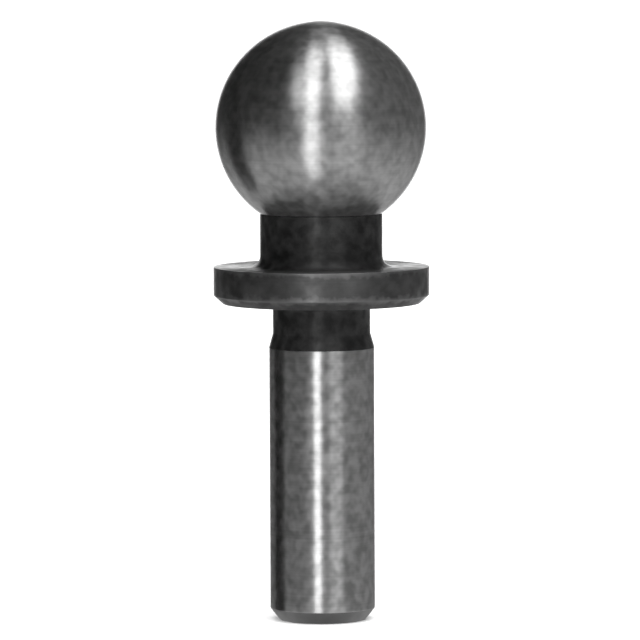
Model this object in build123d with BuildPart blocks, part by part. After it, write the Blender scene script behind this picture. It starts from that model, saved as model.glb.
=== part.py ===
from build123d import *
from math import radians, sqrt, tan
import os

# A shoulder-type tooling ball: a ball of bearing steel, bored from below and bonded
# on the spigot of a turned stem. The stem's shank is pressed into a jig bored for it.
# Millimetres, +Z up along the common axis. The origin is on that axis, in the
# seating face: the underside of the shoulder, which rests on the jig.

# Ball
BALL_DIAMETER = 12.70
BALL_HEIGHT = 10.55  # from the seating face up to the ball's centre

# Neck and shoulder
NECK_DIAMETER = 7.35
NECK_FILLET = 0.65  # at the neck's foot, on the shoulder's top face
SHOULDER_DIAMETER = 12.95
SHOULDER_THICKNESS = 2.20
SHOULDER_CHAMFER_WIDTH = 0.55  # on the lower rim
SHOULDER_CHAMFER_HEIGHT = 0.50
SHOULDER_DEBURR = 0.06  # on the upper rim

# Grinding relief, where the wheel runs out under the shoulder
RELIEF_DEPTH = 0.25  # below the ground shank's surface
RELIEF_LENGTH = 1.80  # from the seating face to the start of the cone
RELIEF_FILLET = 0.45
RELIEF_CONE_LENGTH = 0.88

# Shank
SHANK_DIAMETER = 6.35
SHANK_LENGTH = 19.05  # from the seating face down to the end
END_CHAMFER_WIDTH = 0.55
END_CHAMFER_HEIGHT = 0.72

# Female centre in the shank's end, on which the stem was turned and ground
CENTRE_MOUTH_DIAMETER = 2.00
CENTRE_PILOT_DIAMETER = 0.80
CENTRE_PILOT_DEPTH = 0.70  # beyond the cone
CENTRE_ANGLE = 60.0  # included

# Spigot of the stem in the ball's blind bore
SPIGOT_DIAMETER = 3.90
SPIGOT_LENGTH = 5.20
SPIGOT_CHAMFER = 0.30
SPIGOT_ROOT_FILLET = 0.12
SPIGOT_VENT_DEPTH = 0.25  # a flat along one side that lets the trapped air out
BOND_CLEARANCE = 0.05  # radial, filled by the retaining compound
BORE_END_CLEARANCE = 0.50  # between the spigot's end and the bore's floor
BORE_MOUTH_CHAMFER = 0.20  # clears the fillet at the spigot's root
DRILL_POINT_ANGLE = 118.0  # included, at the end of the bore and of the centre's pilot

ball_radius = BALL_DIAMETER / 2
neck_radius = NECK_DIAMETER / 2
shoulder_radius = SHOULDER_DIAMETER / 2
shank_radius = SHANK_DIAMETER / 2
relief_radius = shank_radius - RELIEF_DEPTH
spigot_radius = SPIGOT_DIAMETER / 2
bore_radius = spigot_radius + BOND_CLEARANCE
mouth_radius = CENTRE_MOUTH_DIAMETER / 2
pilot_radius = CENTRE_PILOT_DIAMETER / 2

# The ball is spot-faced to the neck's own diameter, so the neck runs straight into
# the sphere, and this is the height at which the two meet.
seat_height = BALL_HEIGHT - sqrt(ball_radius**2 - neck_radius**2)
spigot_top = seat_height + SPIGOT_LENGTH
bore_floor = spigot_top + BORE_END_CLEARANCE
relief_foot = -RELIEF_LENGTH
shank_top = relief_foot - RELIEF_CONE_LENGTH
centre_cone_top = -SHANK_LENGTH + (mouth_radius - pilot_radius) / tan(radians(CENTRE_ANGLE / 2))
pilot_floor = centre_cone_top + CENTRE_PILOT_DEPTH


def circles_at(builder, height):
    """The circular edges that lie at this height, the smallest first."""
    circles = builder.edges().filter_by(GeomType.CIRCLE)
    return circles.filter_by_position(Axis.Z, height - 0.001, height + 0.001).sort_by(SortBy.RADIUS)


def drill_point(radius):
    """Height of the cone that a drill of this radius leaves at the end of its hole."""
    return radius / tan(radians(DRILL_POINT_ANGLE / 2))


# The ball: a ground sphere with a spot face and a blind bore in its underside.
with BuildPart() as ball:
    with Locations((0, 0, BALL_HEIGHT)):
        Sphere(ball_radius)
    split(bisect_by=Plane.XY.offset(seat_height), keep=Keep.TOP)
    with BuildSketch(Plane.XZ):
        with BuildLine():
            Polyline(
                (0, seat_height),
                (bore_radius, seat_height),
                (bore_radius, bore_floor),
                (0, bore_floor + drill_point(bore_radius)),
                close=True,
            )
        make_face()
    revolve(axis=Axis.Z, mode=Mode.SUBTRACT)
    chamfer(circles_at(ball, seat_height)[0], BORE_MOUTH_CHAMFER)

# The stem: turned from one bar. From the top down it is the spigot, the neck, the
# shoulder, the grinding relief with its cone, and the ground shank.
with BuildPart() as stem:
    with BuildSketch(Plane.XZ):
        with BuildLine():
            Polyline(
                (0, spigot_top),
                (spigot_radius, spigot_top),
                (spigot_radius, seat_height),
                (neck_radius, seat_height),
                (neck_radius, SHOULDER_THICKNESS),
                (shoulder_radius, SHOULDER_THICKNESS),
                (shoulder_radius, 0),
                (relief_radius, 0),
                (relief_radius, relief_foot),
                (shank_radius, shank_top),
                (shank_radius, -SHANK_LENGTH),
                (0, -SHANK_LENGTH),
                close=True,
            )
        make_face()
    revolve(axis=Axis.Z)

    # the corners that carry load are rounded, and the rims are broken
    fillet(circles_at(stem, seat_height)[0], SPIGOT_ROOT_FILLET)
    fillet(circles_at(stem, SHOULDER_THICKNESS)[0], NECK_FILLET)
    fillet(circles_at(stem, 0)[0], RELIEF_FILLET)
    chamfer(circles_at(stem, spigot_top)[0], SPIGOT_CHAMFER)
    chamfer(circles_at(stem, SHOULDER_THICKNESS)[-1], SHOULDER_DEBURR)
    chamfer(
        circles_at(stem, 0)[-1],
        SHOULDER_CHAMFER_WIDTH,
        SHOULDER_CHAMFER_HEIGHT,
        reference=stem.faces().filter_by_position(Axis.Z, -0.001, 0.001)[0],
    )
    chamfer(
        circles_at(stem, -SHANK_LENGTH)[0],
        END_CHAMFER_WIDTH,
        END_CHAMFER_HEIGHT,
        reference=stem.faces().sort_by(Axis.Z)[0],
    )

    # the flat that vents the blind bore while the ball goes on
    with Locations((spigot_radius, 0, (seat_height + spigot_top) / 2)):
        Box(2 * SPIGOT_VENT_DEPTH, SPIGOT_DIAMETER, SPIGOT_LENGTH, mode=Mode.SUBTRACT)

    # the female centre, a 60 degree cone with a pilot drilled beyond it
    with BuildSketch(Plane.XZ):
        with BuildLine():
            Polyline(
                (0, -SHANK_LENGTH),
                (mouth_radius, -SHANK_LENGTH),
                (pilot_radius, centre_cone_top),
                (pilot_radius, pilot_floor),
                (0, pilot_floor + drill_point(pilot_radius)),
                close=True,
            )
        make_face()
    revolve(axis=Axis.Z, mode=Mode.SUBTRACT)

# The retaining compound: cured in the gap between the spigot and the bore, where it
# also fills the vent flat and the chamfer at the bore's mouth.
with BuildPart() as retaining_compound:
    with BuildSketch(Plane.XZ):
        with BuildLine():
            Polyline(
                (0, seat_height),
                (bore_radius + BORE_MOUTH_CHAMFER, seat_height),
                (bore_radius, seat_height + BORE_MOUTH_CHAMFER),
                (bore_radius, spigot_top - SPIGOT_CHAMFER),
                (0, spigot_top - SPIGOT_CHAMFER),
                close=True,
            )
        make_face()
    revolve(axis=Axis.Z)
    add(stem.part, mode=Mode.SUBTRACT)

pieces = {"ball": ball, "stem": stem, "retaining_compound": retaining_compound}
os.makedirs("parts", exist_ok=True)
for name, piece in pieces.items():
    piece.part.label = name
    export_step(piece.part, f"parts/{name}.step")
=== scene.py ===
import math

import bpy
from mathutils import Euler, Matrix, Vector


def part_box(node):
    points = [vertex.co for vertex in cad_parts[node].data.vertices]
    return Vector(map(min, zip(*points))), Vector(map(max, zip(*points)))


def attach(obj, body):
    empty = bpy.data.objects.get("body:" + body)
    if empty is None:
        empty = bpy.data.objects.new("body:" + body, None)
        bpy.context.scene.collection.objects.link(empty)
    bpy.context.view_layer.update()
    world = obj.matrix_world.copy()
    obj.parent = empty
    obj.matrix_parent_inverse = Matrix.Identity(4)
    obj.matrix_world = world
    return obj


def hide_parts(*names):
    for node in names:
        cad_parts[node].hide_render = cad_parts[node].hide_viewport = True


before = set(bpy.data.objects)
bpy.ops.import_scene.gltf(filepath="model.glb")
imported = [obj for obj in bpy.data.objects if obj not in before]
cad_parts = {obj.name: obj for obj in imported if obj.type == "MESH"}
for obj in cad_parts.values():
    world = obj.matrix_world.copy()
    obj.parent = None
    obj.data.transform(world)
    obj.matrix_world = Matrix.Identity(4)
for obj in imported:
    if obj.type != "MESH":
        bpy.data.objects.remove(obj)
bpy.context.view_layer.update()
bpy.ops.object.select_all(action="DESELECT")


# The ball: hardened bearing steel, ground and then lapped on its stem, so its finish is
# bright with very fine marks that run round the axis. Its underside is spot-faced to
# the neck's diameter and bored for the spigot.
MM = 0.001
AROUND = 192  # faces round every turned piece
DRILL_POINT = math.radians(118)  # included angle of the cone at the end of a drilled hole
POINT_RADIUS = 0.01 * MM  # a cone is drawn down to this, and then closed in a point


def srgb(code):
    """A colour given as an sRGB hex number, in linear light."""
    parts = [(code >> shift & 255) / 255 for shift in (16, 8, 0)]
    return [p / 12.92 if p <= 0.04045 else ((p + 0.055) / 1.055) ** 2.4 for p in parts] + [1.0]


def add_node(tree, kind, inputs=(), **settings):
    """Adds a node. An input takes a value, or an output socket that it is linked to."""
    node = tree.nodes.new(kind)
    for name, value in settings.items():
        setattr(node, name, value)
    for name, value in dict(inputs).items():
        if isinstance(value, bpy.types.NodeSocket):
            tree.links.new(value, node.inputs[name])
        else:
            node.inputs[name].default_value = value
    return node


def remap(tree, value, old, new=(0.0, 1.0), **settings):
    """Maps the range old on to the range new, held at both ends. Gives the output socket."""
    inputs = {
        "Value": value,
        "From Min": old[0], "From Max": old[1],
        "To Min": new[0], "To Max": new[1],
    }
    return add_node(tree, "ShaderNodeMapRange", inputs, **settings).outputs["Result"]


def new_material(name):
    """A material with nothing but its output in it, and its node tree."""
    material = bpy.data.materials.new(name)
    material.use_nodes = True
    material.node_tree.nodes.clear()
    return material, material.node_tree


def turn(rings):
    """Draws the selected ring on through these radii and heights, as a lathe tool goes."""
    radius, height = rings[0]
    for next_radius, next_height in rings[1:]:
        step = (0, 0, next_height - height)
        bpy.ops.mesh.extrude_region_move(TRANSFORM_OT_translate={"value": step})
        grow = next_radius / radius
        bpy.ops.transform.resize(value=(grow, grow, 1), center_override=(0, 0, next_height))
        radius, height = next_radius, next_height


def select_ring(piece, radius, height):
    """Selects the edges of one ring of a turned piece, given its radius and height."""
    bpy.ops.object.mode_set(mode="OBJECT")
    mesh = piece.data
    close = 0.002 * MM
    on = [
        abs(v.co.z - height) < close and abs(math.hypot(v.co.x, v.co.y) - radius) < close
        for v in mesh.vertices
    ]
    for vertex in mesh.vertices:
        vertex.select = on[vertex.index]
    for edge in mesh.edges:
        edge.select = all(on[i] for i in edge.vertices)
    for face in mesh.polygons:
        face.select = False
    bpy.ops.object.mode_set(mode="EDIT")
    bpy.ops.mesh.select_mode(type="EDGE")


def finish_turned(piece, edge_break):
    """Closes the seams, breaks the sharp rims and shades the piece as a turned surface."""
    bpy.ops.object.mode_set(mode="EDIT")
    bpy.ops.mesh.select_all(action="SELECT")
    bpy.ops.mesh.remove_doubles(threshold=0.0005 * MM)
    bpy.ops.mesh.normals_make_consistent(inside=False)
    bpy.ops.object.mode_set(mode="OBJECT")
    bevel = piece.modifiers.new("broken_edges", "BEVEL")
    bevel.width = edge_break
    bevel.segments = 3
    bevel.limit_method = "ANGLE"
    bevel.angle_limit = math.radians(12)
    bpy.ops.object.modifier_apply(modifier=bevel.name)
    bpy.ops.object.shade_smooth_by_angle(angle=math.radians(20))
    weighted = piece.modifiers.new("flat_faces_lead", "WEIGHTED_NORMAL")
    weighted.weight = 100
    weighted.keep_sharp = True
    bpy.ops.object.modifier_apply(modifier=weighted.name)
    bpy.ops.object.select_all(action="DESELECT")


ball_low, ball_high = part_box("ball")
ball_radius = 6.35 * MM
ball_centre = ball_high[2] - ball_radius
seat_height = ball_low[2]
neck_radius = math.sqrt(ball_radius**2 - (ball_centre - seat_height) ** 2)
bore_radius = 2.0 * MM
bore_mouth_chamfer = 0.2 * MM
bore_end_clearance = 0.5 * MM  # between the spigot's end and the bore's floor
bore_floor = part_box("stem")[1][2] + bore_end_clearance
bore_tip = bore_floor + bore_radius / math.tan(DRILL_POINT / 2)

bpy.ops.mesh.primitive_uv_sphere_add(
    segments=AROUND, ring_count=AROUND // 2, radius=ball_radius, location=(0, 0, ball_centre)
)
ball = bpy.context.object
ball.name = "lapped_ball"
bpy.ops.object.transform_apply(location=True, rotation=False, scale=False)
bpy.ops.object.mode_set(mode="EDIT")
bpy.ops.mesh.select_all(action="SELECT")
bpy.ops.mesh.bisect(plane_co=(0, 0, seat_height), plane_no=(0, 0, 1), clear_inner=True)
turn([
    (neck_radius, seat_height),
    (bore_radius + bore_mouth_chamfer, seat_height),
    (bore_radius, seat_height + bore_mouth_chamfer),
    (bore_radius, bore_floor),
    (POINT_RADIUS, bore_tip),
])
bpy.ops.mesh.merge(type="COLLAPSE")
finish_turned(ball, edge_break=0.02 * MM)


def bright_steel(name, roughest, dark, light, mark_height, stretch):
    """Steel finished in rings round its axis, which draw its reflections out along it.

    The finishing marks are drawn 0.12 mm wide, coarser than real ones, so that they show.
    The tone is mottled in patches of about 0.5 mm. The roughness is kept at 0.29 or more,
    since rings with less than about 0.27 show as specks in a denoised render.
    """
    material, tree = new_material(name)
    place = add_node(tree, "ShaderNodeTexCoord")
    split = add_node(tree, "ShaderNodeSeparateXYZ", {"Vector": place.outputs["Object"]})
    marks = add_node(
        tree, "ShaderNodeTexNoise",
        {"W": split.outputs["Z"], "Scale": 1 / (0.12 * MM), "Detail": 1.0},
        noise_dimensions="1D",
    )
    patches = add_node(
        tree, "ShaderNodeTexNoise",
        {"Vector": place.outputs["Object"], "Scale": 1 / (0.6 * MM), "Detail": 1.0},
    )
    roughness = remap(tree, patches.outputs["Fac"], (0.3, 0.7), (0.29, roughest))
    grain = add_node(
        tree, "ShaderNodeMix",
        {"Factor": 0.12, "A": patches.outputs["Fac"], "B": marks.outputs["Fac"]},
    )
    tone = remap(tree, grain.outputs["Result"], (0.32, 0.68))
    tint = add_node(
        tree, "ShaderNodeMix", {"Factor": tone, "A": srgb(dark), "B": srgb(light)}, data_type="RGBA"
    )
    bump = add_node(
        tree, "ShaderNodeBump",
        {"Height": marks.outputs["Fac"], "Strength": mark_height, "Distance": 0.01 * MM},
    )
    around = add_node(tree, "ShaderNodeTangent", direction_type="RADIAL", axis="Z")
    shader = add_node(
        tree, "ShaderNodeBsdfPrincipled",
        {
            "Base Color": tint.outputs["Result"], "Metallic": 1.0, "Roughness": roughness,
            "Anisotropic": stretch, "Anisotropic Rotation": 0.25,
            "Tangent": around.outputs["Tangent"], "Normal": bump.outputs["Normal"],
        },
    )
    add_node(tree, "ShaderNodeOutputMaterial", {"Surface": shader.outputs["BSDF"]})
    return material


# Bearing steel, lapped: a bright neutral grey, a little soft. Real lapping marks are 5 to
# 10 micrometres wide.
ball.data.materials.append(
    bright_steel(
        "bearing_steel_lapped", roughest=0.33, dark=0x9C9C9C, light=0xBCBCBC,
        mark_height=0.05, stretch=0.72,
    )
)
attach(ball, "root")
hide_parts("ball")


# The stem: one piece turned from bar, hardened and blacked all over. Then the shank and
# the underside of the shoulder were ground bright between centres, with the wheel
# running out in the narrow relief under the shoulder.
stem_low, stem_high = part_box("stem")
shank_end, spigot_top = stem_low[2], stem_high[2]
shank_radius = 3.175 * MM
end_chamfer_width = 0.55 * MM
end_chamfer_height = 0.72 * MM
shank_foot = shank_end + end_chamfer_height
centre_angle = math.radians(60)  # included angle of the cone of the centre in the end
mouth_radius = 1.0 * MM
pilot_radius = 0.4 * MM
pilot_depth = 0.7 * MM
centre_cone_top = shank_end + (mouth_radius - pilot_radius) / math.tan(centre_angle / 2)
pilot_floor = centre_cone_top + pilot_depth
pilot_tip = pilot_floor + pilot_radius / math.tan(DRILL_POINT / 2)
relief_depth = 0.25 * MM
relief_radius = shank_radius - relief_depth
relief_foot = -1.80 * MM
relief_cone_length = 0.88 * MM
shank_top = relief_foot - relief_cone_length
relief_fillet = 0.45 * MM
shoulder_radius = stem_high[0]
shoulder_thickness = 2.20 * MM
shoulder_chamfer_width = 0.55 * MM
shoulder_chamfer_height = 0.50 * MM
neck_fillet = 0.65 * MM
spigot_radius = 1.95 * MM
spigot_chamfer = 0.30 * MM

bpy.ops.mesh.primitive_circle_add(
    vertices=AROUND, radius=shank_radius - end_chamfer_width, location=(0, 0, shank_end)
)
stem = bpy.context.object
stem.name = "turned_stem"
bpy.ops.object.transform_apply(location=True, rotation=False, scale=False)
bpy.ops.object.mode_set(mode="EDIT")
bpy.ops.mesh.select_all(action="SELECT")
bands = 24  # of faces up the shank, so that none is very long and thin
shank_rings = [
    (shank_radius, shank_foot + (shank_top - shank_foot) * i / bands) for i in range(bands + 1)
]
turn([
    (shank_radius - end_chamfer_width, shank_end),
    *shank_rings,
    (relief_radius, relief_foot),
    (relief_radius, 0),
    (shoulder_radius - shoulder_chamfer_width, 0),
    (shoulder_radius, shoulder_chamfer_height),
    (shoulder_radius, shoulder_thickness),
    (neck_radius, shoulder_thickness),
    (neck_radius, seat_height),
    (spigot_radius, seat_height),
    (spigot_radius, spigot_top - spigot_chamfer),
    (spigot_radius - spigot_chamfer, spigot_top),
])
bpy.ops.mesh.edge_face_add()
select_ring(stem, shank_radius - end_chamfer_width, shank_end)
turn([
    (shank_radius - end_chamfer_width, shank_end),
    (mouth_radius, shank_end),
    (pilot_radius, centre_cone_top),
    (pilot_radius, pilot_floor),
    (POINT_RADIUS, pilot_tip),
])
bpy.ops.mesh.merge(type="COLLAPSE")
select_ring(stem, relief_radius, 0)
bpy.ops.mesh.bevel(offset=relief_fillet, segments=16, affect="EDGES")
select_ring(stem, neck_radius, shoulder_thickness)
bpy.ops.mesh.bevel(offset=neck_fillet, segments=16, affect="EDGES")
finish_turned(stem, edge_break=0.035 * MM)

# Black oxide on turned steel: a thin film of magnetite, oiled, so it is a soft neutral
# black with a satin sheen, uneven in patches of about half a millimetre. It shows the
# tool's feed marks, which are 0.08 mm apart and drawn at 0.12 mm so that they show. It is
# drawn as rubbed thin along the shoulder's rims and on the chamfer at the shank's end.
blacked, tree = new_material("black_oxide_turned")
place = add_node(tree, "ShaderNodeTexCoord")
split = add_node(tree, "ShaderNodeSeparateXYZ", {"Vector": place.outputs["Object"]})
feed = add_node(
    tree, "ShaderNodeTexNoise",
    {"W": split.outputs["Z"], "Scale": 1 / (0.12 * MM), "Detail": 2.0},
    noise_dimensions="1D",
)
cloud = add_node(
    tree, "ShaderNodeTexNoise",
    {"Vector": place.outputs["Object"], "Scale": 1 / (0.65 * MM), "Detail": 2.0},
)
tone = remap(tree, cloud.outputs["Fac"], (0.35, 0.68))
film = add_node(
    tree, "ShaderNodeMix", {"Factor": tone, "A": srgb(0x050505), "B": srgb(0x1C1C1C)},
    data_type="RGBA",
)
roughness = remap(tree, cloud.outputs["Fac"], (0.3, 0.7), (0.56, 0.38))
bump = add_node(
    tree, "ShaderNodeBump",
    {"Height": feed.outputs["Fac"], "Strength": 0.35, "Distance": 0.02 * MM},
)
around = add_node(tree, "ShaderNodeTangent", direction_type="RADIAL", axis="Z")
across = add_node(
    tree, "ShaderNodeVectorMath", {0: place.outputs["Object"], 1: (1, 1, 0)}, operation="MULTIPLY"
)
radius = add_node(tree, "ShaderNodeVectorMath", {0: across.outputs["Vector"]}, operation="LENGTH")
# painted shade: the film's sheen is turned down nearer the axis, on the neck under the ball and in
# the relief under the shoulder, and up out on the shoulder
sheen_painted_shade = remap(tree, radius.outputs["Value"], (3.7 * MM, 6.3 * MM), (0.19, 0.45))
oxide = add_node(
    tree, "ShaderNodeBsdfPrincipled",
    {
        "Base Color": film.outputs["Result"], "Metallic": 0.0, "IOR": 1.9,
        "Specular IOR Level": sheen_painted_shade, "Roughness": roughness,
        "Anisotropic": 0.7, "Anisotropic Rotation": 0.25, "Tangent": around.outputs["Tangent"],
        "Normal": bump.outputs["Normal"],
    },
)
bare = add_node(
    tree, "ShaderNodeBsdfPrincipled",
    {
        "Base Color": srgb(0xC4C4C4), "Metallic": 1.0, "Roughness": 0.42,
        "Normal": bump.outputs["Normal"],
    },
)
section = add_node(
    tree, "ShaderNodeCombineXYZ", {"X": radius.outputs["Value"], "Z": split.outputs["Z"]}
)


def distance_from(ring_radius, height):
    """How far a point of the stem is from a ring of it. Gives the output socket."""
    inputs = {0: section.outputs["Vector"], 1: (ring_radius, 0, height)}
    return add_node(tree, "ShaderNodeVectorMath", inputs, operation="DISTANCE").outputs["Value"]


upper_rim = distance_from(shoulder_radius, shoulder_thickness)
lower_rim = distance_from(shoulder_radius, shoulder_chamfer_height)
nearest = add_node(tree, "ShaderNodeMath", {0: upper_rim, 1: lower_rim}, operation="MINIMUM")
end_chamfer = distance_from(
    shank_radius - end_chamfer_width / 2, shank_end + end_chamfer_height / 2
)
reach = remap(tree, cloud.outputs["Fac"], (0.40, 0.66), (0.18 * MM, 0.50 * MM))
rubbed_rims = remap(tree, nearest.outputs["Value"], (reach, 0.0), (0.0, 0.22))
rubbed_end = remap(tree, end_chamfer, (0.62 * MM, 0.42 * MM), (0.0, 0.36))
rubbed = add_node(
    tree, "ShaderNodeMath", {0: rubbed_rims, 1: rubbed_end}, operation="MAXIMUM"
)
shader = add_node(
    tree, "ShaderNodeMixShader",
    {0: rubbed.outputs["Value"], 1: oxide.outputs["BSDF"], 2: bare.outputs["BSDF"]},
)
add_node(tree, "ShaderNodeOutputMaterial", {"Surface": shader.outputs["Shader"]})

# Ground steel, on the shank and under the shoulder: bright and neutral, with the wheel's
# fine marks round it. Real ones are 0.01 mm apart.
stem.data.materials.append(blacked)
stem.data.materials.append(
    bright_steel(
        "hardened_steel_ground", roughest=0.34, dark=0xA2A2A2, light=0xCACACA,
        mark_height=0.07, stretch=0.8,
    )
)
for face in stem.data.polygons:
    on_shank = shank_foot < face.center.z < shank_top
    on_seat = abs(face.center.z) < 0.001 * MM
    face.material_index = 1 if on_shank or on_seat else 0
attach(stem, "root")
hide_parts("stem")


# The retaining compound: an anaerobic adhesive that cured in the gap between the spigot
# and the bore. It is a hard green resin film, and nothing of it shows.
resin, tree = new_material("anaerobic_resin_cured")
place = add_node(tree, "ShaderNodeTexCoord")
cloud = add_node(
    tree, "ShaderNodeTexNoise",
    {"Vector": place.outputs["Object"], "Scale": 1 / (0.7 * MM), "Detail": 2.0},
)
tint = add_node(
    tree, "ShaderNodeMix",
    {"Factor": cloud.outputs["Fac"], "A": srgb(0x2C8A52), "B": srgb(0x3FA868)},
    data_type="RGBA",
)
shader = add_node(
    tree, "ShaderNodeBsdfPrincipled",
    {"Base Color": tint.outputs["Result"], "Roughness": 0.25, "IOR": 1.5},
)
add_node(tree, "ShaderNodeOutputMaterial", {"Surface": shader.outputs["BSDF"]})
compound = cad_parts["retaining_compound"]
compound.data.materials.clear()
compound.data.materials.append(resin)


# The floor: a plain pale board under the shank's end, a hair below it so that the two
# faces don't lie in one plane. It is left out of the steel's reflections, and is clear
# from below.
floor_half = 3.0
floor_gap = 0.02 * MM
bpy.ops.mesh.primitive_plane_add(size=2 * floor_half, location=(0, 0, shank_end - floor_gap))
floor = bpy.context.object
floor.name = "pale_floor"
floor.visible_glossy = False
floor.visible_shadow = False
board, tree = new_material("pale_board")
facing = add_node(tree, "ShaderNodeNewGeometry")
paint = add_node(tree, "ShaderNodeBsdfDiffuse", {"Color": srgb(0xF4F4F4)})
clear = add_node(tree, "ShaderNodeBsdfTransparent")
sides = add_node(
    tree, "ShaderNodeMixShader",
    {0: facing.outputs["Backfacing"], 1: paint.outputs["BSDF"], 2: clear.outputs["BSDF"]},
)
add_node(tree, "ShaderNodeOutputMaterial", {"Surface": sides.outputs["Shader"]})
floor.data.materials.append(board)

# The room: white to the eye and for soft light. In the steel it is dim, darker to the
# left than to the right, with a grey table below and a pale wall behind.
world = bpy.data.worlds.new("studio")
bpy.context.scene.world = world
world.use_nodes = True
tree = world.node_tree
tree.nodes.clear()
way = add_node(tree, "ShaderNodeTexCoord")
split = add_node(tree, "ShaderNodeSeparateXYZ", {"Vector": way.outputs["Generated"]})
soft = {"interpolation_type": "SMOOTHSTEP"}
across = remap(tree, split.outputs["X"], (-0.5, 0.8), (0.0, 0.13), **soft)
below = remap(tree, split.outputs["Z"], (0.05, -0.55), **soft)
underneath = remap(tree, split.outputs["Z"], (-0.75, -1.0), (0.56, 0.08))
dim = add_node(tree, "ShaderNodeMix", {"Factor": below, "A": across, "B": underneath})
behind = remap(tree, split.outputs["Y"], (0.93, 0.985), (0.0, 2.8), **soft)
shown = add_node(tree, "ShaderNodeMath", {0: dim.outputs["Result"], 1: behind}, operation="ADD")
reflected = add_node(tree, "ShaderNodeBackground", {"Color": shown.outputs["Value"]})
white = add_node(tree, "ShaderNodeBackground", {"Color": srgb(0xFFFFFF), "Strength": 1.4})
path = add_node(tree, "ShaderNodeLightPath")
pick = add_node(
    tree, "ShaderNodeMixShader",
    {
        0: path.outputs["Is Glossy Ray"],
        1: white.outputs["Background"],
        2: reflected.outputs["Background"],
    },
)
add_node(tree, "ShaderNodeOutputWorld", {"Surface": pick.outputs["Shader"]})


lamp_distance = 0.6
watts_per_area = 4  # that a lamp of brightness 1 gives off each square metre


def softbox(name, azimuth, elevation, width, height, brightness, right=0.0, up=0.0, lean=0.0):
    """A soft light that faces the ball, then is moved and leant in its own plane.

    Azimuth 0 is the camera's side, and a positive one is to the camera's right.
    """
    lamp = bpy.data.lights.new(name, "AREA")
    lamp.shape = "RECTANGLE"
    lamp.size, lamp.size_y = width, height
    lamp.energy = brightness * watts_per_area * width * height
    holder = bpy.data.objects.new(name, lamp)
    bpy.context.scene.collection.objects.link(holder)
    facing = Euler((math.radians(90 - elevation), 0, math.radians(azimuth))).to_matrix()
    holder.location = facing @ Vector((right, up, lamp_distance)) + Vector((0, 0, ball_centre))
    holder.rotation_euler = (facing @ Matrix.Rotation(math.radians(lean), 3, "Z")).to_euler()


softbox("strip_light", -10, -2, 0.145, 1.25, 1.8)
softbox("left_bank", 0, 60, 0.15, 0.80, 1.85, right=-0.065, up=0.06, lean=-5)
softbox("left_fill", 0, 60, 0.20, 0.52, 1.0, right=-0.24, up=-0.18, lean=-18)
softbox("right_bank", 0, 60, 0.28, 0.98, 2.3, right=0.245, up=0.10, lean=7)
softbox("low_fill", 32, -5, 0.30, 1.0, 0.24)

# a black card on the left, its foot leant away from the camera, which the steel shows as
# a dark band down that side
card_distance = 0.5
card_lean = math.radians(-22)
card_facing = Euler((math.pi / 2, 0, math.radians(-105))).to_matrix()
bpy.ops.mesh.primitive_plane_add(size=1)
card = bpy.context.object
card.name = "black_card"
card.location = card_facing @ Vector((0, 0, card_distance)) + Vector((0, 0, ball_centre))
card.rotation_euler = (card_facing @ Matrix.Rotation(card_lean, 3, "Z")).to_euler()
card.scale = (0.30, 0.95, 1)
card.visible_camera = card.visible_diffuse = card.visible_shadow = False
felt, tree = new_material("black_felt")
shader = add_node(tree, "ShaderNodeBsdfDiffuse", {"Color": srgb(0x020202)})
add_node(tree, "ShaderNodeOutputMaterial", {"Surface": shader.outputs["BSDF"]})
card.data.materials.append(felt)

# The camera: a long lens from the front, a little above level, with the part standing
# the height of the picture.
camera = bpy.data.objects.new("camera", bpy.data.cameras.new("camera"))
bpy.context.scene.collection.objects.link(camera)
bpy.context.scene.camera = camera
camera.data.lens = 300
camera.data.sensor_width = 36
rise = math.radians(4.5)
roll = math.radians(0.24)
picture_width = 38.40 * MM  # across the picture, at the part
away = picture_width * camera.data.lens / camera.data.sensor_width
aim = Vector((0.01 * MM, 0, -1.03 * MM))
back = Vector((0, -math.cos(rise), math.sin(rise)))
camera.location = aim + back * away
camera.rotation_euler = (math.pi / 2 - rise, roll, 0)
camera.data.clip_start = 0.01
camera.data.clip_end = 20

bpy.context.scene.view_settings.view_transform = "Standard"
